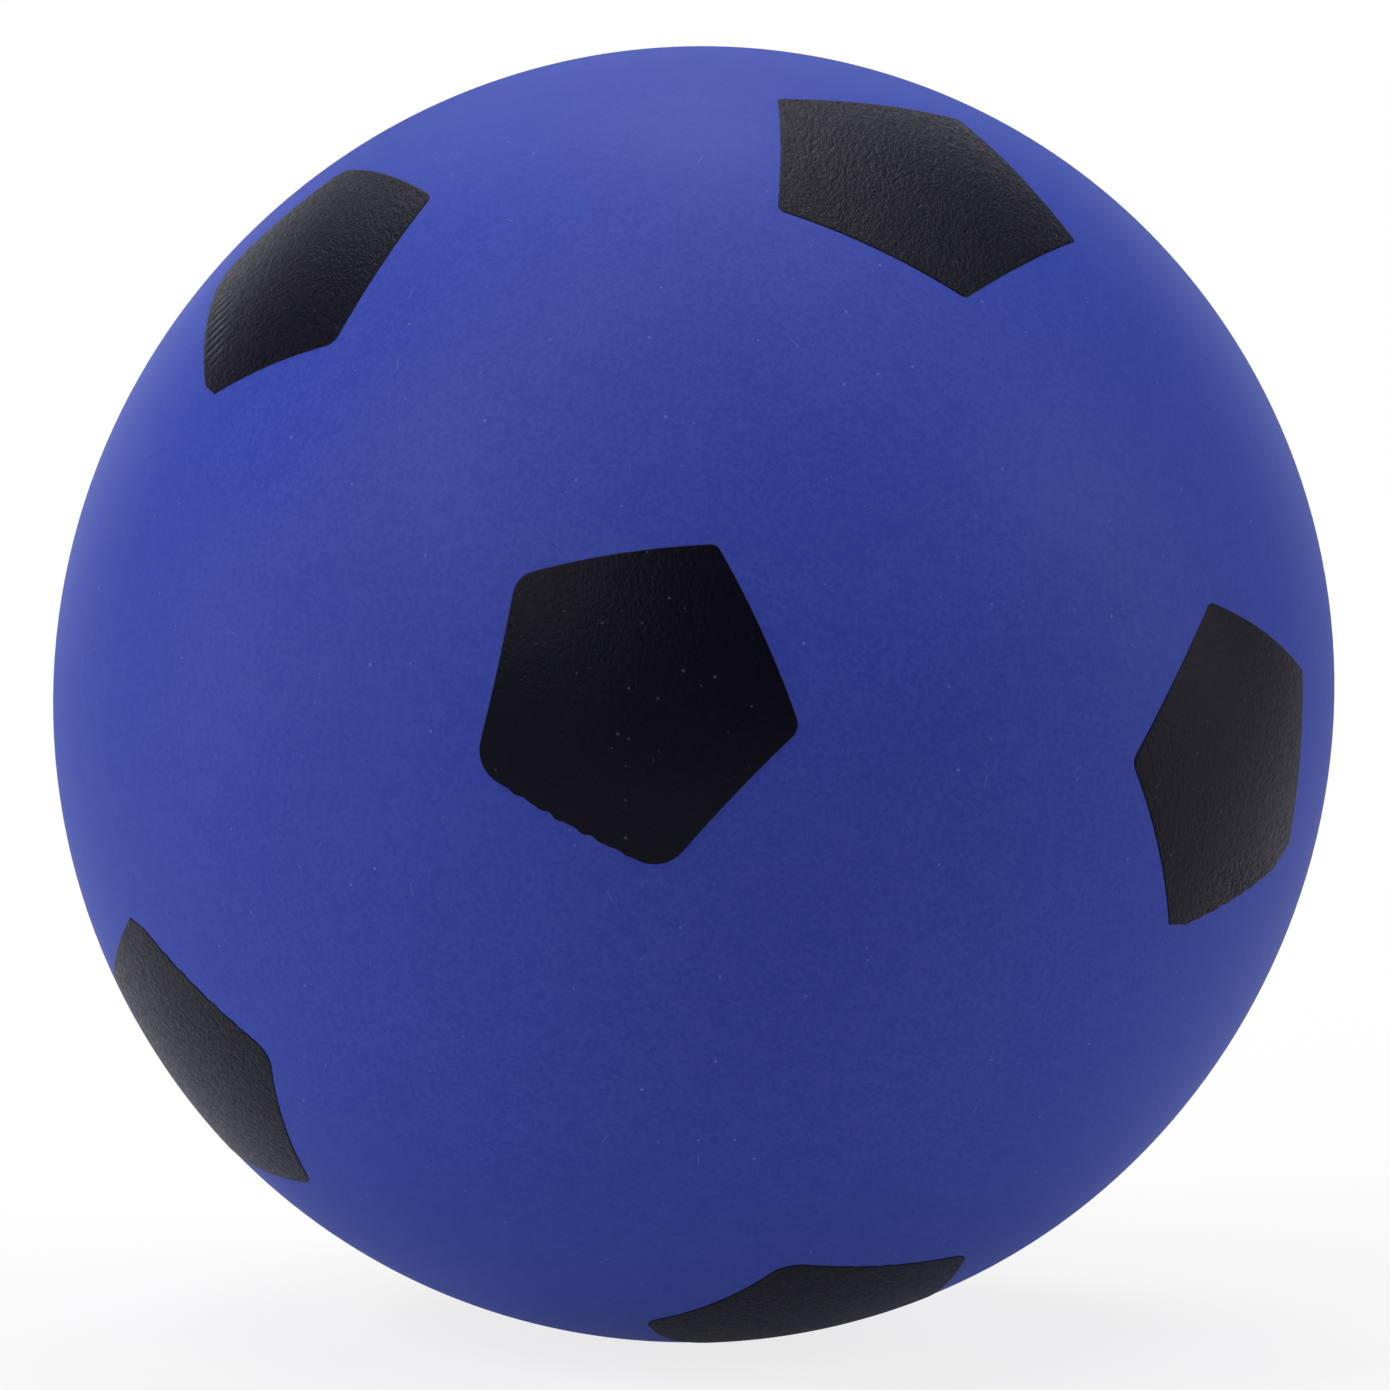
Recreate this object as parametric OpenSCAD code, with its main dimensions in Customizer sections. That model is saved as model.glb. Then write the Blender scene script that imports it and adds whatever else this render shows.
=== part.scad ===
// Soft play ball: a moulded foam core in an elastic skin, with twelve five-sided prints.
// Millimetres, +Z up, the front of the ball towards -Y. The origin is the middle of the small
// flat that the ball's own weight presses at its lowest point, so the ball rests on z = 0.

/* [Ball] */
// Diameter over the skin
ball_d = 178; // [160:1:220]
// Thickness of the elastic skin round the foam
skin_t = 0.5; // [0.3:0.1:1.5]
// Width of the flat that the resting ball presses at its lowest point, if it is 178 across
rest_d = 20; // [10:1:20]

/* [Prints] */
// Thickness of the ink film of a print
ink_t = 0.1; // [0.06:0.01:0.12]
// Size of the prints, where 1 is as seen
print_size = 1; // [0.8:0.02:1]

/* [Colours] */
// Colour of the skin
skin_colour = "royalblue"; // [royalblue, firebrick, gold, seagreen]
// Colour of the ink
ink_colour = "black"; // [black, white]

/* [Hidden] */

$fn = 180;
skin_r = ball_d / 2;
// The foam fills the skin, and the ink stands out of it
foam_r = skin_r - skin_t;
ink_r = skin_r + ink_t;
foam_colour = "wheat";
// The flat above and the outlines below are in millimetres on a ball of this diameter
drawn_ball_d = 178;
pattern_scale = print_size * ball_d / drawn_ball_d;
rest_r = rest_d / 2 * ball_d / drawn_ball_d;
// Height of the ball's middle over the floor, once its flat is pressed
centre_z = sqrt(skin_r * skin_r - rest_r * rest_r);
// Straight steps in the round of a corner and in the bow of a side
round_steps = 6;
side_steps = 4;
// A prism that cuts a print out of the ball starts well inside it and ends outside
prism_from = skin_r * 0.8;
prism_to = skin_r * 1.1;

// The six prints of the front half, as a jig set them down, a little off a regular layout:
// longitude from the front, latitude, turn of the first corner from the right, and for each
// corner of the pentagon its distance from the print's middle, how many degrees it lies off
// a regular place, its rounding, and how far the side after it bows out
front_print = [-5.2, 5.7, 62, [
    [23, 0, 1.5, 0.6], [22.5, 0, 4, -0.2], [23.3, -1.5, 5, 0.3],
    [23.5, 1, 5, -0.2], [22.4, 0, 2.5, 0.6]]];
upper_right_print = [37.6, 56.3, 40, [
    [23.9, 0, 1, -0.5], [23.3, -0.5, 0.5, 0], [23.8, 0.5, 1.5, 0.1],
    [23.5, 0, 1, 0.2], [23.6, 1, 0.5, -0.4]]];
upper_left_print = [-58.6, 44.4, 47.5, [
    [22, -1, 2, 0.5], [23, 4.5, 2.5, -0.2], [22.3, -6, 6.5, 0.4],
    [22.3, 5, 4.5, -0.1], [22.5, -2.5, 2, 0.5]]];
right_print = [56.2, -3, 31, [
    [22.9, -1.5, 1, 0.7], [23.3, 1, 1.5, 0.6], [23.4, -1, 2, -0.1],
    [24.5, -2.5, 4.5, 0.2], [24.2, 3.5, 7, -0.3]]];
lower_left_print = [-64.6, -32.4, 11.5, [
    [24.6, -2, 3.5, 0.5], [24.1, 1, 4, -0.1], [23.8, -0.5, 2, 0],
    [24.4, 1, 1, 0.2], [22.5, 0, 3.5, -0.2]]];
bottom_print = [29.5, -68.4, 51, [
    [24, -1.5, 4, 0.3], [25.3, 1, 4, -0.3], [23.6, 0.5, 4.5, 1.5],
    [23.2, -1, 4, 0], [23.9, 1, 2, -0.1]]];

// The other six lie straight opposite
function opposite(p) = [p[0] + 180, -p[1], -p[2], p[3]];

// Ball of radius r whose lowest cap is pressed flat at height floor_z
module pressed_ball(r, floor_z) {
    difference() {
        translate([0, 0, centre_z]) sphere(r = r);
        translate([-ball_d, -ball_d, floor_z - ball_d]) cube([2 * ball_d, 2 * ball_d, ball_d]);
    }
}

function unit(v) = v / norm(v);

// Corner i of print p, on the flat that touches the ball at the print's middle
function corner(p, i) =
    let (c = p[3][(i + 5) % 5], a = p[2] + 72 * i + c[1])
    pattern_scale * c[0] * [cos(a), sin(a)];

// The round of corner i: points on an arc that touches the side before it and the one after it
function corner_round(p, i) =
    let (at = corner(p, i), to_last = unit(corner(p, i - 1) - at), to_next = unit(corner(p, i + 1) - at),
        half = acos(to_last * to_next) / 2, r = pattern_scale * p[3][i][2],
        middle = at + unit(to_last + to_next) * r / sin(half),
        first = at + to_last * r / tan(half) - middle, from = atan2(first[1], first[0]))
    [for (k = [0:round_steps]) let (a = from + (180 - 2 * half) * k / round_steps)
        middle + r * [cos(a), sin(a)]];

// The side from point a to point b, bowed out by bow at its middle, without its ends
function bowed_side(a, b, bow) =
    let (out = unit([b[1] - a[1], a[0] - b[0]]))
    [for (k = [1:side_steps - 1]) let (u = k / side_steps) a + u * (b - a) + 4 * u * (1 - u) * bow * out];

// Whole outline of print p, corner by corner, each with the side after it
function outline(p) =
    let (rounds = [for (i = [0:4]) corner_round(p, i)])
    [for (i = [0:4]) each concat(rounds[i],
        bowed_side(rounds[i][round_steps], rounds[(i + 1) % 5][0], pattern_scale * p[3][i][3]))];

// Film of ink on the skin, of the outline that a prism square to the ball cuts out
module ink_film(p) {
    color(ink_colour) translate([0, 0, centre_z]) difference() {
        intersection() {
            sphere(r = ink_r);
            rotate([-p[1], 0, p[0]]) rotate([90, 0, 0]) translate([0, 0, prism_from])
                linear_extrude(height = prism_to - prism_from) polygon(outline(p));
        }
        sphere(r = skin_r);
    }
}

// Core moulded from soft foam, which fills the skin
module foam_core() {
    color(foam_colour) pressed_ball(foam_r, skin_t);
}

// Elastic skin, of one thickness all round, also over the pressed flat
module skin() {
    color(skin_colour) difference() {
        pressed_ball(skin_r, 0);
        pressed_ball(foam_r, skin_t);
    }
}

module print_front() { ink_film(front_print); }
module print_upper_right() { ink_film(upper_right_print); }
module print_upper_left() { ink_film(upper_left_print); }
module print_right() { ink_film(right_print); }
module print_lower_left() { ink_film(lower_left_print); }
module print_bottom() { ink_film(bottom_print); }
module print_rear() { ink_film(opposite(front_print)); }
module print_rear_lower_left() { ink_film(opposite(upper_right_print)); }
module print_rear_lower_right() { ink_film(opposite(upper_left_print)); }
module print_rear_left() { ink_film(opposite(right_print)); }
module print_rear_upper_right() { ink_film(opposite(lower_left_print)); }
module print_top() { ink_film(opposite(bottom_print)); }

foam_core();
skin();
print_front();
print_upper_right();
print_upper_left();
print_right();
print_lower_left();
print_bottom();
print_rear();
print_rear_lower_left();
print_rear_lower_right();
print_rear_left();
print_rear_upper_right();
print_top();
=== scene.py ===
from math import cos, pi, radians, sin, sqrt

import bpy
import numpy as np
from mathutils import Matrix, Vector


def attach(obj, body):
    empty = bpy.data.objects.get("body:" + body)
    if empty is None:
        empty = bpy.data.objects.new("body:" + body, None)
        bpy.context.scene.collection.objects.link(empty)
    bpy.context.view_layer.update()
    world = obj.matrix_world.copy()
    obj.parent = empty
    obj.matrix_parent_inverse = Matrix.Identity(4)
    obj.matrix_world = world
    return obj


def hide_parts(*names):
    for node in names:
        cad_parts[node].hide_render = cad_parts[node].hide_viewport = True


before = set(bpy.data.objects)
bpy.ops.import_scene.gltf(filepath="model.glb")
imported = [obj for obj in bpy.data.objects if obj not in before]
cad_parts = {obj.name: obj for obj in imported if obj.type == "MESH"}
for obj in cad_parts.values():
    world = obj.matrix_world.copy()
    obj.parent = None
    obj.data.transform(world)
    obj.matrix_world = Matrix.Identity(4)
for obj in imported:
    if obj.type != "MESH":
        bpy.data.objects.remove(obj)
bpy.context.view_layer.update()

# Foam core: one ball of soft open-cell foam, cast in a closed mould. It came out a little oval,
# with a slight swell low at one side, and its weight presses a small flat where it rests. The
# skin that is sprayed on it holds it.
BALL_RADIUS = 0.089            # over the skin, on average
SKIN_THICKNESS = 0.0005
OVAL = 0.0086                  # the long radius is longer than the average by this share
OVAL_LEAN = radians(65)        # of the long radius, turned from the camera's right towards its up
SWELL = 0.0040                 # how far the ball swells out, as a share of its radius
SWELL_LEAN = radians(-59)      # of the swell's middle, turned as the long radius is
SWELL_WIDTH = 0.42             # where it is down to a third, on a ball of radius 1
CAMERA_RISE = radians(6)       # the camera looks down by this angle
REST_WIDTH = 0.020             # across the pressed flat
RIM_SOFTNESS = 0.0001          # height over which the rim of the flat turns into the round
GLUE_LINE = 0.00002            # between the foam and the skin
CORE_ROWS, CORE_COLUMNS = 97, 192
POLE_CROWD = 0.6               # how much closer the circles of latitude lie at the poles


def across_view(lean):
    """Unit vector square to the camera's line of sight, turned by lean from its right to its up."""
    return np.array([cos(lean), sin(lean) * sin(CAMERA_RISE), sin(lean) * cos(CAMERA_RISE)])


LONG_AXIS, SHORT_AXIS = across_view(OVAL_LEAN), across_view(OVAL_LEAN + pi / 2)
SWELL_MIDDLE = across_view(SWELL_LEAN)


def oval_radius(directions):
    """Radius of the ball that way: the average times 1, plus the oval share times the square of
    the direction's part along the long axis less the square of its part along the short axis,
    plus the swell times a bell curve over the distance from the swell's middle."""
    oval = OVAL * ((directions @ LONG_AXIS) ** 2 - (directions @ SHORT_AXIS) ** 2)
    away = ((directions - SWELL_MIDDLE) ** 2).sum(-1)
    return BALL_RADIUS * (1 + oval + SWELL * np.exp(-away / SWELL_WIDTH ** 2))


# The pressed flat is a chord of the ball's outline, which sets the height of the ball's middle
MIDDLE = np.array([0, 0, sqrt(oval_radius(np.array([0, 0, -1.0])) ** 2 - (REST_WIDTH / 2) ** 2)])


def on_ball(directions, lift):
    """Points of the ball that way from its middle, at the oval radius plus lift. A height under
    the floor, or under a wall's thickness over it, becomes that height, and a parabola as high
    as the rim's softness joins the round to the flat."""
    lift = np.asarray(lift, float)
    points = MIDDLE + directions * (oval_radius(directions) + lift)[..., None]
    lowest = np.maximum(0, -lift)
    over = points[..., 2] - lowest
    joined = (over + RIM_SOFTNESS) ** 2 / (4 * RIM_SOFTNESS)
    pressed = np.where(over < -RIM_SOFTNESS, 0, joined)
    points[..., 2] = lowest + np.where(over > RIM_SOFTNESS, over, pressed)
    return points


def ball_directions(rows, columns):
    """Unit directions on circles of latitude, from straight down to straight up. The angle from
    straight down is pi (w - POLE_CROWD sin(2 pi w) / (2 pi)), for w from 0 to 1."""
    w = np.linspace(0, 1, rows)[:, None]
    polar = pi * (w - POLE_CROWD * np.sin(2 * pi * w) / (2 * pi))
    around = 2 * pi * np.arange(columns)[None, :] / columns
    return np.stack([np.sin(polar) * np.cos(around), np.sin(polar) * np.sin(around),
                     -np.cos(polar) + 0 * around], -1)


def closed_surface(grid):
    """Vertices and faces over a grid of points. The first and the last row are one point each,
    closed by fans of triangles, and quads join each row to the next and its end to its start.
    Faces point out where the rows climb while their points go round leftwards."""
    rows, columns = grid.shape[:2]
    points = np.vstack([grid[:1, 0], grid[1:-1].reshape(-1, 3), grid[-1:, 0]])
    here = np.arange(columns)
    after = (here + 1) % columns
    row = 1 + columns * np.arange(rows - 3)[:, None]
    quads = np.stack([row + here, row + after, row + columns + after, row + columns + here], -1)
    last_row = 1 + columns * (rows - 3)
    first_fan = np.stack([0 * here, 1 + after, 1 + here], -1)
    last_fan = np.stack([last_row + here, last_row + after, 0 * here + len(points) - 1], -1)
    return points, quads.reshape(-1, 4).tolist() + first_fan.tolist() + last_fan.tolist()


def new_piece(name, points, faces, material):
    """A smooth-shaded mesh object of these points and faces, at the origin."""
    mesh = bpy.data.meshes.new(name)
    mesh.from_pydata(points.tolist(), [], faces)
    mesh.polygons.foreach_set("use_smooth", [True] * len(mesh.polygons))
    mesh.materials.append(material)
    piece = bpy.data.objects.new(name, mesh)
    bpy.context.scene.collection.objects.link(piece)
    return piece


class Wire:
    """A shader socket, on which arithmetic adds the Math node that does it."""

    def __init__(self, finish, socket):
        self.finish, self.socket = finish, socket

    def __add__(self, other):
        return self.finish.add("Math", {"operation": "ADD"}, {0: self, 1: other})

    def __sub__(self, other):
        return self.finish.add("Math", {"operation": "SUBTRACT"}, {0: self, 1: other})

    def __rsub__(self, other):
        return self.finish.add("Math", {"operation": "SUBTRACT"}, {0: other, 1: self})

    def __mul__(self, other):
        return self.finish.add("Math", {"operation": "MULTIPLY"}, {0: self, 1: other})

    def __abs__(self):
        return self.finish.add("Math", {"operation": "ABSOLUTE"}, {0: self})

    __radd__, __rmul__ = __add__, __mul__


class Finish:
    """A material being made, one node at a time."""

    def __init__(self, name):
        self.material = bpy.data.materials.new(name)
        self.material.use_nodes = True
        self.tree = self.material.node_tree
        self.tree.nodes.clear()

    def add(self, kind, settings=None, inputs=None, out=0):
        """One output of a new node that has these settings, and these inputs' values or wires."""
        node = self.tree.nodes.new("ShaderNode" + kind)
        for name, value in (settings or {}).items():
            setattr(node, name, value)
        for name, value in (inputs or {}).items():
            if isinstance(value, Wire):
                self.tree.links.new(value.socket, node.inputs[name])
            else:
                node.inputs[name].default_value = value
        return Wire(self, node.outputs[out]) if node.outputs else node

    def here(self):
        """The point being shaded, in metres from the origin."""
        return self.add("TexCoord", out="Object")

    def vector(self, operation, first, second, out=0):
        """A Vector Math node on two vectors."""
        return self.add("VectorMath", {"operation": operation}, {0: first, 1: second}, out)

    def cells(self, spacing):
        """Voronoi cells about that far apart: the point and the random colour of the nearest."""
        point = self.add("TexVoronoi", None, {"Vector": self.here(), "Scale": 1 / spacing},
                         out="Position")
        return point, Wire(self, point.socket.node.outputs["Color"])

    def numbers(self, colour):
        """The three parts of a colour or vector."""
        first = self.add("SeparateColor", None, {0: colour})
        return [Wire(self, part) for part in first.socket.node.outputs]

    def grain(self, size, detail=2.0, roughness=0.5, squeeze=(1, 1, 1)):
        """Noise in lumps of about that size, shorter along each axis by its squeeze, from 0 to 1
        and mostly near a half. Each finer layer is as strong as roughness times the last one."""
        return self.add("TexNoise", None,
                        {"Vector": self.vector("MULTIPLY", self.here(), squeeze),
                         "Scale": 1 / size, "Detail": detail, "Roughness": roughness})

    def fade(self, value, start, end, top=1.0):
        """top where value is at start, down to 0 where it is at end, on a smooth step."""
        return self.add("MapRange", {"interpolation_type": "SMOOTHSTEP"},
                        {"Value": value, "From Min": start, "From Max": end,
                         "To Min": top, "To Max": 0.0})

    def near(self, place, reach, top):
        """top at the place, down to 0 that far from it."""
        return self.fade(self.vector("DISTANCE", self.here(), place, out="Value"), 0, reach, top)

    def tint(self, factor, first, second):
        """The first colour where factor is 0, and the second where it is 1."""
        return self.add("Mix", {"data_type": "RGBA"}, {0: factor, 6: first, 7: second}, out=2)

    def relief(self, height, depth):
        """The normal of a surface whose height, from 0 to 1, spans that depth in metres."""
        return self.add("Bump", None, {"Strength": 1.0, "Distance": depth, "Height": height})

    def coat(self, **inputs):
        """The material, ended in a Principled shader with these inputs, _ in a name for a space."""
        shader = self.add("BsdfPrincipled", None,
                          {name.replace("_", " "): value for name, value in inputs.items()})
        self.add("OutputMaterial", None, {"Surface": shader})
        return self.material


FOAM_CREAM = (0.80, 0.74, 0.56, 1)
# The darker colour serves both for the foam's stains of age and for the painted shade in its cells'
# pits.
FOAM_STAIN_AND_PAINTED_SHADE = (0.52, 0.44, 0.28, 1)
FOAM_ROUGHNESS, FOAM_GLOSS = 0.95, 0.2
FOAM_CELL, FOAM_CELL_DEPTH = 0.0009, 0.0003
PIT_FLOOR, PIT_RIM = 0.15, 0.55        # how far from a cell's middle, as shares of its size
# Painted shade: how far a pit's colour is darkened towards the darker colour, for the shade in its
# hollow.
PIT_PAINTED_SHADE = 0.7                # how far a pit turns to the shade colour
STAIN_SIZE, STAIN_SHADE, STAIN_FULL, STAIN_NONE = 0.03, 0.25, 0.6, 0.3


def foam_finish():
    """Cream foam whose cells are pits painted darker, as painted shade in their hollows, with slow
    stains of its age.
    """
    foam = Finish("open_cell_foam")
    cells = foam.add("TexVoronoi", None, {"Vector": foam.here(), "Scale": 1 / FOAM_CELL},
                     out="Distance")
    pits = foam.fade(cells, PIT_FLOOR, PIT_RIM)
    stains = foam.fade(foam.grain(STAIN_SIZE), STAIN_FULL, STAIN_NONE, STAIN_SHADE)
    # The base colour darkens in the pits as painted shade, and in the stains as the foam's own
    # colour.
    return foam.coat(Base_Color=foam.tint(pits * PIT_PAINTED_SHADE + stains, FOAM_CREAM, FOAM_STAIN_AND_PAINTED_SHADE),
                     Roughness=FOAM_ROUGHNESS, Specular_IOR_Level=FOAM_GLOSS,
                     Normal=foam.relief(1 - pits, FOAM_CELL_DEPTH))


core_grid = on_ball(ball_directions(CORE_ROWS, CORE_COLUMNS), -SKIN_THICKNESS - GLUE_LINE)
core = new_piece("moulded_foam_core", *closed_surface(core_grid), foam_finish())
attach(core, "root")
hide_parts("foam_core")

# Skin: an elastic coat sprayed round the core, half a millimetre thick and without a seam. It
# is through-coloured blue with a satin surface, a fine mottle, and some house dust and lint on it.
SKIN_ROWS, SKIN_COLUMNS = 161, 320
LINING_ROWS, LINING_COLUMNS = 81, 160
SKIN_PALE = (0.0416, 0.0602, 0.3470, 1)
SKIN_DEEP = (0.0304, 0.0485, 0.3180, 1)
DUST_COLOUR = (0.25, 0.30, 0.60, 1)
SOOT_COLOUR = (0.010, 0.012, 0.06, 1)
SKIN_ROUGHNESS, SKIN_ROUGHNESS_SPREAD = 0.5, 0.08
SKIN_GLOSS = 0.12              # how strongly it mirrors, where 0.5 is plain plastic
# Mottle, blotches and clouds in the blue: how large they are, and how strongly they show
MOTTLE_SIZE, BLOTCH_SIZE, CLOUD_SIZE = 0.0008, 0.0030, 0.012
MOTTLE, BLOTCHES, CLOUDS = 5.0, 1.2, 0.8
SKIN_RELIEF = 0.000012
# Where the skin is rubbed smooth and where it is dusty: the middle of each patch, how far it
# reaches, and by which share the mottle is weaker or stronger there
SMOOTH_PLACE, DUSTY_PLACE, PATCH_REACH = (-0.040, -0.079, 0.095), (0.043, -0.062, 0.041), 0.045
SMOOTHER, DUSTIER = 0.38, 0.45
# Faint blue sheen of the skin seen edge-on: how strong, how soft and of what colour
SKIN_SHEEN, SKIN_SHEEN_SOFTNESS, SKIN_SHEEN_TINT = 0.2, 0.6, (0.0, 0.15, 1.0, 1)
# Dust specks and lint fibres: how far apart, how wide and how long they are, and which share of
# the places holds one. Then how much of the blue a speck and a fibre hide.
SPECK_SPACING, SPECK_WIDTH, SPECK_SHARE = 0.0024, 0.0005, 0.6
SOOT_SPACING, SOOT_WIDTH, SOOT_SHARE = 0.009, 0.00045, 0.5
LINT_SPACING, LINT_WIDTH, LINT_LENGTH, LINT_CURL, LINT_SHARE = 0.013, 0.00014, 0.0020, 350, 0.12
SPECK_COVER, LINT_COVER = 0.33, 0.25
# A speck fades out between two shares of its width off its middle, both larger on the widest,
# and a fibre between such shares of its width and of its length
SPECK_FADE, SPECK_GROWTH = (0.15, 0.35), 0.2
FIBRE_SIDE_FADE, FIBRE_END_FADE = (0.3, 0.6), (0.4, 0.5)
CHANCE_STEP = 0.01             # the cells whose own number is that near the share hold a weak one
HARSH = 0.8                    # roughness of the noise of the mottle and of the ink's wrinkles


def specks(finish, spacing, width, share):
    """Round specks, with 0 between them. Each Voronoi cell may hold one: a number of the cell's
    own says whether it does, and another, how wide the speck is and, squared, how strong."""
    point, colour = finish.cells(spacing)
    chance, strength, _ = finish.numbers(colour)
    distance = finish.vector("DISTANCE", finish.here(), point, out="Value")
    round_speck = finish.fade(distance - strength * (SPECK_GROWTH * width),
                              SPECK_FADE[0] * width, SPECK_FADE[1] * width)
    return round_speck * strength * strength * finish.fade(chance, share, share + CHANCE_STEP)


def lint(finish, spacing, width, length, curl, share):
    """1 on thin bent fibres that lie on the surface, and 0 between them. A Voronoi cell's point
    and colour give each fibre's middle and direction. Along it, the fibre leaves its straight
    line by curl times the square of the way."""
    point, colour = finish.cells(spacing)
    chance, _, turn = finish.numbers(colour)
    from_middle = finish.vector("SUBTRACT", finish.here(), tuple(MIDDLE))
    outward = finish.vector("NORMALIZE", from_middle, (0, 0, 0))
    any_way = finish.vector("SUBTRACT", colour, (0.5, 0.5, 0.5))
    line = finish.vector("NORMALIZE", finish.vector("CROSS_PRODUCT", outward, any_way), (0, 0, 0))
    way = finish.vector("SUBTRACT", finish.here(), point)
    along = finish.vector("DOT_PRODUCT", way, line, out="Value")
    square_to_line = finish.vector("CROSS_PRODUCT", outward, line)
    off = finish.vector("DOT_PRODUCT", way, square_to_line, out="Value")
    across = abs(off - along * along * (turn - 0.5) * (2 * curl))
    thread = finish.fade(across, FIBRE_SIDE_FADE[0] * width, FIBRE_SIDE_FADE[1] * width)
    thread = thread * finish.fade(abs(along), FIBRE_END_FADE[0] * length,
                                  FIBRE_END_FADE[1] * length)
    return thread * finish.fade(chance, share, share + CHANCE_STEP)


def skin_finish():
    """Satin blue with a fine mottle, slow clouds, pale dust and lint, and a few dark specks."""
    skin = Finish("blue_satin_skin")
    mottle = skin.grain(MOTTLE_SIZE, roughness=HARSH)
    smooth = skin.near(SMOOTH_PLACE, PATCH_REACH, SMOOTHER)
    dusty = skin.near(DUSTY_PLACE, PATCH_REACH, DUSTIER)
    pale = ((mottle - 0.5) * (dusty - smooth + 1) * MOTTLE
            + (skin.grain(BLOTCH_SIZE) - 0.5) * BLOTCHES
            + (skin.grain(CLOUD_SIZE) - 0.5) * CLOUDS + 0.5)
    dust = specks(skin, SPECK_SPACING, SPECK_WIDTH, SPECK_SHARE) * SPECK_COVER
    fibres = lint(skin, LINT_SPACING, LINT_WIDTH, LINT_LENGTH, LINT_CURL, LINT_SHARE) * LINT_COVER
    soot = specks(skin, SOOT_SPACING, SOOT_WIDTH, SOOT_SHARE)
    blue = skin.tint(dust + fibres, skin.tint(pale, SKIN_DEEP, SKIN_PALE), DUST_COLOUR)
    return skin.coat(Base_Color=skin.tint(soot, blue, SOOT_COLOUR),
                     Roughness=mottle * SKIN_ROUGHNESS_SPREAD
                     + (SKIN_ROUGHNESS - SKIN_ROUGHNESS_SPREAD / 2),
                     Specular_IOR_Level=SKIN_GLOSS, Normal=skin.relief(mottle, SKIN_RELIEF),
                     Sheen_Weight=SKIN_SHEEN, Sheen_Roughness=SKIN_SHEEN_SOFTNESS,
                     Sheen_Tint=SKIN_SHEEN_TINT)


outside, outside_faces = closed_surface(on_ball(ball_directions(SKIN_ROWS, SKIN_COLUMNS), 0.0))
lining_grid = on_ball(ball_directions(LINING_ROWS, LINING_COLUMNS), -SKIN_THICKNESS)
lining, lining_faces = closed_surface(lining_grid)
inward_faces = [[len(outside) + corner for corner in reversed(face)] for face in lining_faces]
skin = new_piece("elastic_skin", np.vstack([outside, lining]), outside_faces + inward_faces,
                 skin_finish())
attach(skin, "root")
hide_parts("skin")

# Prints: twelve five-sided patches of black ink, each a film a tenth of a millimetre thick,
# pressed on by a pad in a jig. Corners are a little rounded or cut, sides bow, and some edges ran.
MM = 0.001                     # a millimetre
SIDES = 5
INK_THICKNESS = 0.0001
INK_SUNK = 0.00004             # the film's underside lies this deep in the skin's mesh
EDGE_ROLL = 0.0002             # the film thins out over this width at its edge
EDGE_BLACK, EDGE_BLACK_END = 0.0001, 0.0004    # how far inside it the edge's own colour fades
SIDE_DISTANCE = 0.019          # of a side from the print's middle
ROUND_STEPS, SIDE_STEPS, TOP_ROWS, ROLL_ROWS = 10, 72, 18, 5
TOP_ROWS_CROWD = 1.5           # above 1, the rows of the top lie closer near its edge
# A side that ran has a wave of two lengths, the second lower by a share, and every side has a
# raggedness of two shorter ones
WAVE_LENGTHS, SECOND_WAVE = (0.0034, 0.0021), 0.6
RAG_LENGTHS, RAG_HEIGHT = (0.0015, 0.0009), 0.000012
RAGGED_SEED = 5
INK_BLACK = (0.0022, 0.0019, 0.0078, 1)
INK_EDGE = (0.0010, 0.0010, 0.0030, 1)
INK_DUST = (0.045, 0.047, 0.055, 1)
INK_DUST_SPACING = 0.0018
INK_GLOSS = 0.105
INK_SHEEN, INK_SHEEN_SOFTNESS, INK_SHEEN_TINT = 0.06, 0.4, (0.3, 0.3, 1.0, 1)
INK_ROUGHNESS_SPREAD = 0.8     # how far the roughness goes with the wrinkles
WRINKLE_SIZE = 0.0007
WRINKLE_SQUEEZE = (1.1, 0.5, 0.95)
WRINKLE_RELIEF = 0.0003
# How rough each print is, and how strongly it is wrinkled. The bottom one is rubbed matt.
INK_ROUGHNESS = {"front": 0.4, "upper_right": 0.4, "upper_left": 0.4, "right": 0.4,
                 "lower_left": 0.44, "bottom": 0.57}
WRINKLED = {"front": 0.32, "upper_right": 0.88, "upper_left": 0.5, "right": 0.47, "lower_left": 0.6,
            "bottom": 0.5}
# Crumpled or dragged ink lies in a strip along one side of a print: where its middle is on the
# side and how far it spreads, as shares of the side
STRIP_MIDDLE, STRIP_SPREAD = 0.6, 0.35
# Along one side of a print the ink crumpled: which side, how far inside its edge, over which
# width, and how strongly
CRUMPLED_SIDE = {"right": 3}
CRUMPLED_INSIDE, CRUMPLED_WIDTH, CRUMPLED = 0.0017, 0.0035, 1.2
# Along one side of a print the pad dragged the ink into ridges: which side, how far inside its
# edge, over which width, the direction across the ridges, how far apart and how high they are,
# and how far the wrinkles bend them
DRAG_SIDE = {"upper_left": 2}
DRAG_INSIDE, DRAG_WIDTH = 0.0033, 0.0020
RIDGES_ACROSS = (-0.022, 0.898, 0.440)
RIDGE_SPACING, RIDGE_HEIGHT, RIDGE_BEND = 0.0018, 0.24, 8

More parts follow.
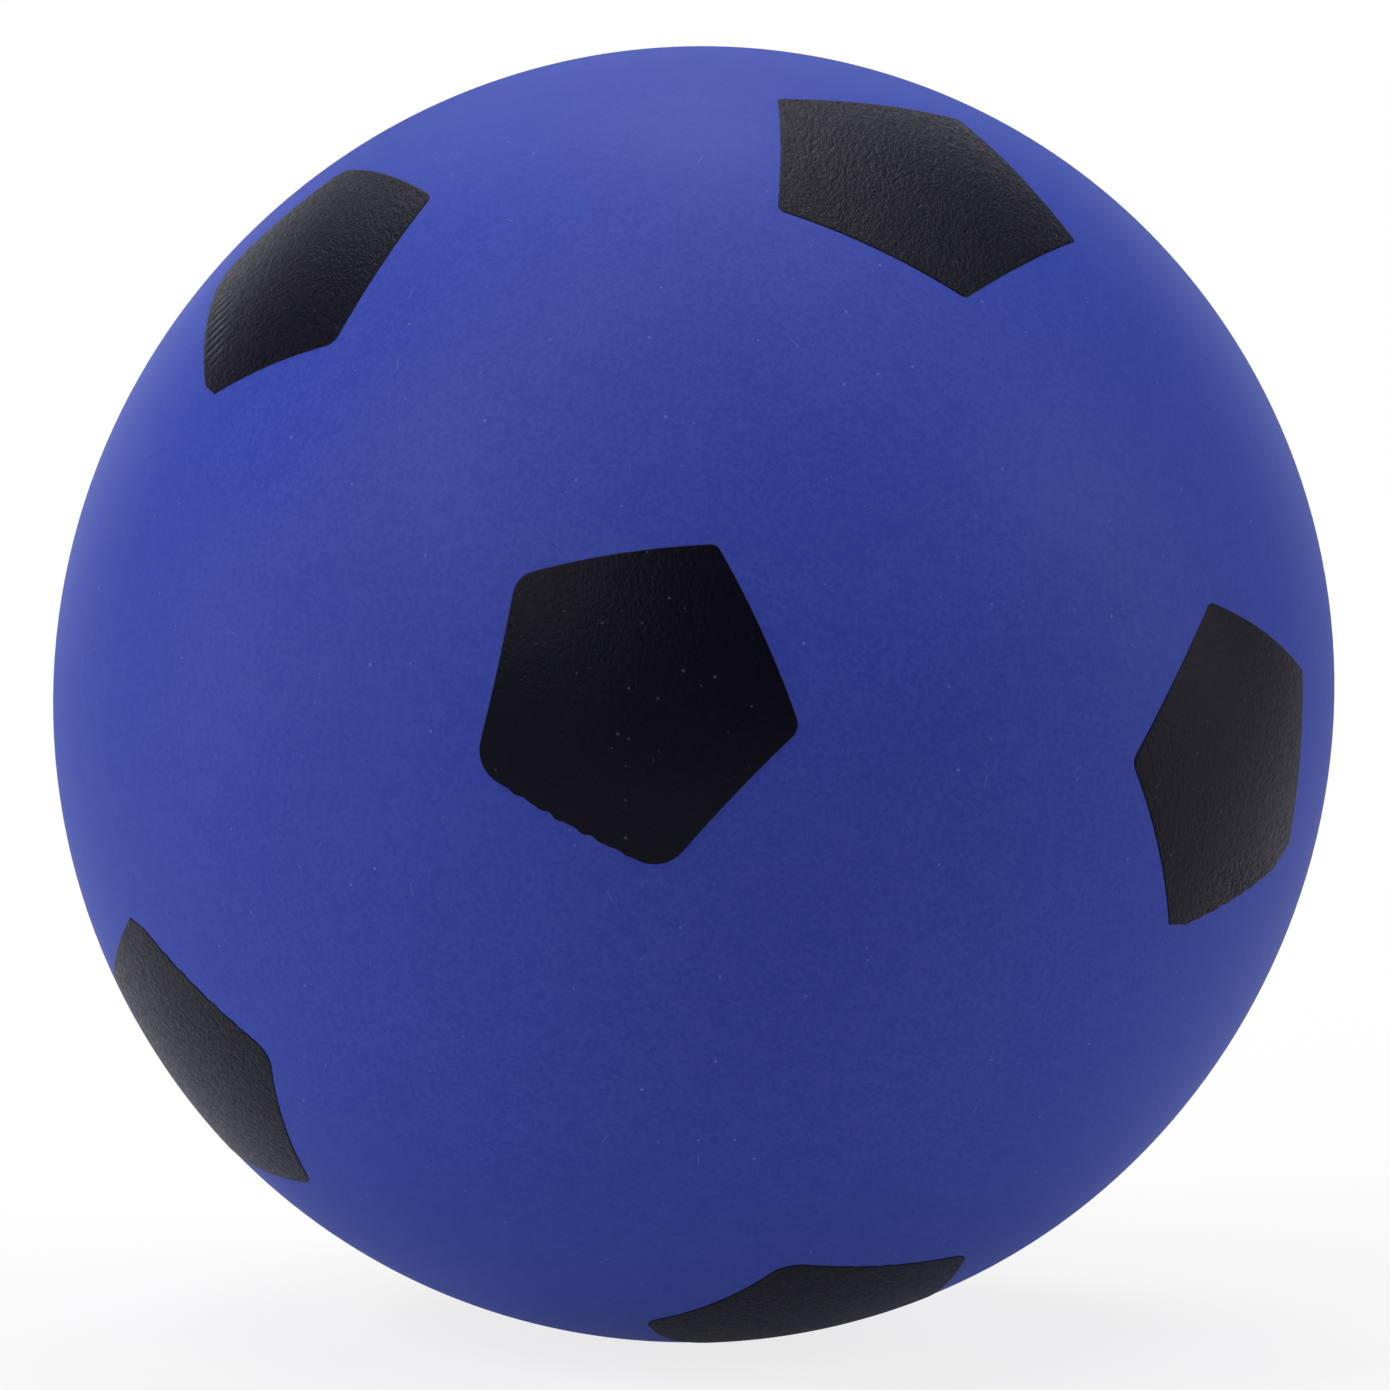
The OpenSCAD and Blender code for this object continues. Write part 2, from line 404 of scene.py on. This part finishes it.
# For each print: longitude from the front, latitude and turn of its first corner, in degrees,
# then for its corners: distance from its middle in mm, degrees off a regular place, rounding in
# mm, and the bow of the side after it in mm. The last row is the height of that side's waves, in
# mm too.
PRINTS = {
    "front": (-5.2, 5.7, 62.2, [23, 22.5, 23.3, 23.5, 22.4], [0, 0, -1.5, 1, 0],
              [1.5, 3.5, 5, 5, 2.5], [0.6, -0.2, 0.3, -0.2, 0.6], [0, 0, 0.14, 0, 0]),
    "upper_right": (37.6, 56.3, 40, [23.9, 23.3, 23.8, 23.5, 23.6], [0, -0.5, 0.5, 0, 1],
                    [1, 0.5, 1.5, 1, 0.5], [-0.5, 0, 0.1, 0.2, -0.4], [0, 0.03, 0, 0, 0]),
    "upper_left": (-58.6, 44.4, 47.3, [22, 23, 22.3, 22.3, 22.5], [-1, 4.5, -6, 5, -2.5],
                   [2, 3.2, 6.5, 4.5, 2], [0.5, -0.2, 0.4, -0.1, 0.5], [0, 0, 0.08, 0, 0]),
    "right": (56.3, -3, 30.7, [22.9, 23.3, 23.4, 24.5, 24.2], [-1.5, 1, -1, -2.5, 3.5],
              [1, 1.5, 2, 4.5, 7], [0.7, 0.6, -0.1, 0.2, -0.3], [0, 0, 0, 0.09, 0]),
    "lower_left": (-64.7, -32.4, 11.4, [24.6, 24.1, 23.8, 24.4, 22.5], [-2, 1, -0.5, 1, 0],
                   [3.5, 4, 2, 1, 3.5], [0.5, -0.1, 0, 0.2, -0.2], [0.1, 0, 0, 0, 0]),
    "bottom": (29.3, -68.2, 51.2, [24, 25.3, 23.6, 23.2, 23.9], [-1.5, 1, 0.5, -1, 1],
               [4, 4, 4.5, 4, 2], [0.3, -0.3, 1.5, 0, -0.1], [0.05, 0, 0, 0, 0]),
}
# Corners that are cut off straight instead: for each, how much of the side before it and of the
# side after it the cut takes, in mm
CUT_CORNERS = {"upper_left": {3: (2.75, 1.75)}, "right": {3: (1.25, 3.25), 4: (4.75, 2)},
               "lower_left": {1: (3, 1.75)}}
# The other six lie straight opposite
REAR_OF = {"front": "rear", "upper_right": "rear_lower_left", "upper_left": "rear_lower_right",
           "right": "rear_left", "lower_left": "rear_upper_right", "bottom": "top"}


def direction_of(vectors):
    """The vectors at length 1."""
    return vectors / np.linalg.norm(vectors, axis=-1, keepdims=True)


def print_outline(turn, distance, off, rounding, bow, waves, cuts, ragged):
    """Outline of a print on the flat that touches the ball at its middle, in metres: for each
    corner an arc that touches both its sides, or a straight cut, and then the side up to the
    next corner's arc, bowed out as 4 u (1 - u) and moved by two sine waves that die away at its
    ends. u is the share of the way along the side."""
    angle = np.radians(turn + 360 / SIDES * np.arange(SIDES) + np.array(off))
    corner = MM * np.array(distance)[:, None] * np.stack([np.cos(angle), np.sin(angle)], 1)
    radius = MM * np.array(rounding)[:, None]
    to_last = direction_of(np.roll(corner, 1, 0) - corner)
    to_next = direction_of(np.roll(corner, -1, 0) - corner)
    half = np.arccos((to_last * to_next).sum(1, keepdims=True)) / 2
    middle = corner + direction_of(to_last + to_next) * radius / np.sin(half)
    start = corner + to_last * radius / np.tan(half) - middle
    way = np.linspace(0, 1, ROUND_STEPS)[None, :]
    arc_angle = np.arctan2(start[:, 1:], start[:, :1]) + (pi - 2 * half) * way
    arcs = middle[:, None] + radius[:, None] * np.stack([np.cos(arc_angle), np.sin(arc_angle)], -1)
    for number, (before, after) in cuts.items():
        cut_from = corner[number] + to_last[number] * MM * before
        cut_to = corner[number] + to_next[number] * MM * after
        arcs[number] = cut_from + (cut_to - cut_from) * way.T
    side_from, side_to = arcs[:, -1:], np.roll(arcs[:, :1], -1, 0)
    u = np.linspace(0, 1, SIDE_STEPS + 2)[None, 1:-1, None]
    along = side_to - side_from
    length = np.linalg.norm(along, axis=-1, keepdims=True)
    out = np.stack([along[..., 1], -along[..., 0]], -1) / length
    ripple_lengths = WAVE_LENGTHS + RAG_LENGTHS
    phase = ragged.uniform(0, 2 * pi, (len(ripple_lengths), SIDES, 1, 1))
    ripples = [np.sin(2 * pi * u * length / ripple + start)
               for ripple, start in zip(ripple_lengths, phase)]
    wave = ripples[0] + SECOND_WAVE * ripples[1]
    rag = ripples[2] + ripples[3]
    height = MM * np.array(waves)[:, None, None] * wave + RAG_HEIGHT * rag
    sides = side_from + u * along + (MM * np.array(bow)[:, None, None] * 4 * u * (1 - u)
                                     + np.sin(pi * u) ** 0.5 * height) * out
    return np.concatenate([arcs, sides], 1).reshape(-1, 2)


def ink_film(longitude, latitude, outline):
    """Grid of a closed film over an outline, and how far inside its edge each row lies. Rows
    run from the middle of the underside to the edge, up its rolled quarter round, and back to
    the middle of the top. Each row is the outline shrunk towards the print's middle."""
    quarter = np.linspace(0, pi / 2, ROLL_ROWS)
    inward = np.linspace(0, 1, TOP_ROWS)[1:] ** TOP_ROWS_CROWD
    inset = np.concatenate([[SIDE_DISTANCE, 0.5 * SIDE_DISTANCE, 0],
                            EDGE_ROLL * (1 - np.cos(quarter)),
                            EDGE_ROLL + (SIDE_DISTANCE - EDGE_ROLL) * inward])
    height = np.concatenate([[-INK_SUNK] * 3, INK_THICKNESS * np.sin(quarter),
                             [INK_THICKNESS] * len(inward)])
    flat = (1 - inset / SIDE_DISTANCE)[:, None, None] * outline[None] / BALL_RADIUS
    a, b = radians(longitude), radians(latitude)
    ahead = np.array([cos(b) * sin(a), -cos(b) * cos(a), sin(b)])
    east = np.array([cos(a), sin(a), 0])
    north = np.cross(ahead, east)
    rise = np.sqrt(1 - (flat ** 2).sum(-1, keepdims=True))
    directions = flat[..., :1] * east + flat[..., 1:] * north + rise * ahead
    return on_ball(directions, height[:, None] + np.zeros(len(outline))), inset


def beside(side, inset, columns, inside, width):
    """How much each point of a film's grid belongs to a strip along that side of the print, from
    0 to 1: a bell curve over the way along the side, times one of that width round that far
    inside the edge. 0 where side is None."""
    if side is None:
        return np.zeros((len(inset), columns))
    way = SIDES * np.arange(columns) / columns - side
    return (np.exp(-((way - STRIP_MIDDLE) / STRIP_SPREAD) ** 2)
            * np.exp(-((inset[:, None] - inside) / width) ** 2))


def per_point(name, film, grid):
    """Keeps a grid of numbers as an attribute of the film's points."""
    values = np.concatenate([grid[:1, 0], grid[1:-1].ravel(), grid[-1:, 0]])
    film.data.attributes.new(name, "FLOAT", "POINT").data.foreach_set("value", values)


def ink_finish():
    """Near-black ink, blacker and smoother where it thins out at its edge, wrinkled and a
    little dusty inside."""
    ink = Finish("black_ink")
    inset, rough, wrinkled, drag = [ink.add("Attribute", {"attribute_name": name}, out="Fac")
                                    for name in ("inset", "rough", "wrinkled", "drag")]
    edge = ink.fade(inset, EDGE_BLACK, EDGE_BLACK_END)
    wrinkles = (ink.grain(WRINKLE_SIZE, roughness=HARSH, squeeze=WRINKLE_SQUEEZE) - 0.5) * wrinkled
    across = ink.vector("DOT_PRODUCT", ink.here(), RIDGES_ACROSS, out="Value")
    phase = across * (2 * pi / RIDGE_SPACING) + wrinkles * RIDGE_BEND
    ridges = ink.add("Math", {"operation": "SINE"}, {0: phase})
    height = (wrinkles + ridges * drag * RIDGE_HEIGHT) * (1 - edge)
    dust = specks(ink, INK_DUST_SPACING, SPECK_WIDTH, SPECK_SHARE)
    return ink.coat(Base_Color=ink.tint(dust, ink.tint(edge, INK_BLACK, INK_EDGE), INK_DUST),
                    Roughness=wrinkles * INK_ROUGHNESS_SPREAD + rough,
                    Specular_IOR_Level=INK_GLOSS, Normal=ink.relief(height, WRINKLE_RELIEF),
                    Sheen_Weight=INK_SHEEN, Sheen_Roughness=INK_SHEEN_SOFTNESS,
                    Sheen_Tint=INK_SHEEN_TINT)


black_ink = ink_finish()
ragged = np.random.default_rng(RAGGED_SEED)
for name, (longitude, latitude, turn, distance, off, rounding, bow, waves) in PRINTS.items():
    cuts = CUT_CORNERS.get(name, {})
    for place, at, up, first in ((name, longitude, latitude, turn),
                                 (REAR_OF[name], longitude + 180, -latitude, -turn)):
        outline = print_outline(first, distance, off, rounding, bow, waves, cuts, ragged)
        grid, inset = ink_film(at, up, outline)
        film = new_piece("ink_" + place, *closed_surface(grid), black_ink)
        plain = np.zeros(grid.shape[:2])
        columns = len(outline)
        crumpled = beside(CRUMPLED_SIDE.get(name), inset, columns, CRUMPLED_INSIDE, CRUMPLED_WIDTH)
        dragged = beside(DRAG_SIDE.get(name), inset, columns, DRAG_INSIDE, DRAG_WIDTH)
        per_point("inset", film, plain + inset[:, None])
        per_point("rough", film, plain + INK_ROUGHNESS[name])
        per_point("wrinkled", film, WRINKLED[name] + CRUMPLED * crumpled)
        per_point("drag", film, dragged)
        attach(film, "root")
        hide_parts("print_" + place)

# Floor: a plain pale sheet under the ball, so wide that it fills the view. The camera sees it
# nearer to white the farther it lies from the ball, and its shadow near the ball is kept.
FLOOR_SIDE = 40
FLOOR_GREY = (0.5, 0.5, 0.5, 1)
FLOOR_WHITE = (0.9, 0.9, 0.9, 1)
SHADOW_FULL, SHADOW_REACH = 0.15, 0.5  # how far from the ball its shadow is full, and is seen
FLOOR_GLOW = 0.8               # share of pure white in what the camera sees of the floor there


def floor_finish():
    """Matt paper. For camera rays it is white, and turns into pure white outwards."""
    paper = Finish("white_floor")
    seen = paper.add("LightPath", out="Is Camera Ray")
    matt = paper.add("BsdfDiffuse", None, {"Color": paper.tint(seen, FLOOR_GREY, FLOOR_WHITE)})
    white = paper.add("Emission", None, {"Color": (1, 1, 1, 1), "Strength": 1.0})
    away = paper.vector("DISTANCE", paper.here(), (0, 0, 0), out="Value")
    shadow = paper.fade(away, SHADOW_FULL, SHADOW_REACH, 1 - FLOOR_GLOW)
    sheet = paper.add("MixShader", None, {0: seen * (1 - shadow), 1: matt, 2: white})
    paper.add("OutputMaterial", None, {"Surface": sheet})
    return paper.material


corners = np.array([[-1, -1, 0], [1, -1, 0], [1, 1, 0], [-1, 1, 0]]) * FLOOR_SIDE / 2
floor = new_piece("floor", corners, [[0, 1, 2, 3]], floor_finish())

# Light: soft round panels that face the ball, and a faintly lit table under it. The camera's
# own side stays dark, and the surroundings are white to the camera alone.
PANEL_DISTANCE = 1.5
PANELS = [
    # azimuth from the front towards the right, height angle, diameter, watts
    (-60, 40, 0.5, 7.5),
    (-90, 5, 1.0, 7.2),
    (90, 75, 1.0, 6.3),
    (80, 30, 0.5, 5.0),
    (-60, 70, 0.5, 4.9),
    (90, 5, 1.0, 4.9),
    (180, 62, 0.5, 4.0),
    (-30, 25, 0.5, 3.0),
    (-150, 5, 1.0, 2.7),
    (-148, 48, 0.5, 1.8),
    (180, 32, 1.0, 1.7),
    (150, 5, 1.0, 1.4),
    (150, 18, 1.0, 0.8),
]
TABLE_SIDE, TABLE_WATTS, TABLE_HEIGHT = 1.0, 0.8, 0.0006


def soft_panel(name, shape, size, watts, place, facing):
    """An area lamp that the camera doesn't see, whose light leaves it against facing."""
    lamp = bpy.data.lights.new(name, "AREA")
    lamp.shape, lamp.size, lamp.energy = shape, size, watts
    panel = bpy.data.objects.new(name, lamp)
    panel.location = place
    panel.rotation_euler = Vector(facing).to_track_quat("Z", "Y").to_euler()
    panel.visible_camera = False
    bpy.context.scene.collection.objects.link(panel)


for number, (azimuth, rise, diameter, watts) in enumerate(PANELS):
    a, b = radians(azimuth), radians(rise)
    towards = np.array([cos(b) * sin(a), -cos(b) * cos(a), sin(b)])
    place = MIDDLE + PANEL_DISTANCE * towards
    soft_panel("panel_%d" % number, "DISK", diameter, watts, place, towards)
soft_panel("light_table", "SQUARE", TABLE_SIDE, TABLE_WATTS, (0, 0, TABLE_HEIGHT), (0, 0, -1))

room = bpy.data.worlds.new("white_room")
room.use_nodes = True
room_nodes, room_links = room.node_tree.nodes, room.node_tree.links
room_nodes["Background"].inputs["Color"].default_value = (1, 1, 1, 1)
room_links.new(room_nodes.new("ShaderNodeLightPath").outputs["Is Camera Ray"],
               room_nodes["Background"].inputs["Strength"])
bpy.context.scene.world = room

# Camera: level with the ball's shoulders and a little above, so far off that the ball hardly
# bulges. The frame is 1390 pixels wide, and the ball's silhouette has these pixels in it.
CAMERA_DISTANCE = 20 * BALL_RADIUS
FRAME_PIXELS = 1390
SILHOUETTE_RADIUS = 644.3
SILHOUETTE_MIDDLE = (693.75, 694.0)
SENSOR = 36.0
FARTHEST_SEEN = 100

half_view = FRAME_PIXELS / 2 / SILHOUETTE_RADIUS / sqrt((CAMERA_DISTANCE / BALL_RADIUS) ** 2 - 1)
metres_per_pixel = half_view * CAMERA_DISTANCE / (FRAME_PIXELS / 2)
right = np.array([1, 0, 0])
up = np.array([0, sin(CAMERA_RISE), cos(CAMERA_RISE)])
back = np.array([0, -cos(CAMERA_RISE), sin(CAMERA_RISE)])
shift_right = (FRAME_PIXELS / 2 - SILHOUETTE_MIDDLE[0]) * metres_per_pixel
shift_up = (SILHOUETTE_MIDDLE[1] - FRAME_PIXELS / 2) * metres_per_pixel
lens = bpy.data.cameras.new("camera")
lens.sensor_width = SENSOR
lens.lens = SENSOR / 2 / half_view
lens.clip_end = FARTHEST_SEEN
camera = bpy.data.objects.new("camera", lens)
camera.location = MIDDLE + shift_right * right + shift_up * up + CAMERA_DISTANCE * back
camera.rotation_euler = (pi / 2 - CAMERA_RISE, 0, 0)
bpy.context.scene.collection.objects.link(camera)
bpy.context.scene.camera = camera
bpy.context.scene.view_settings.view_transform = "Standard"
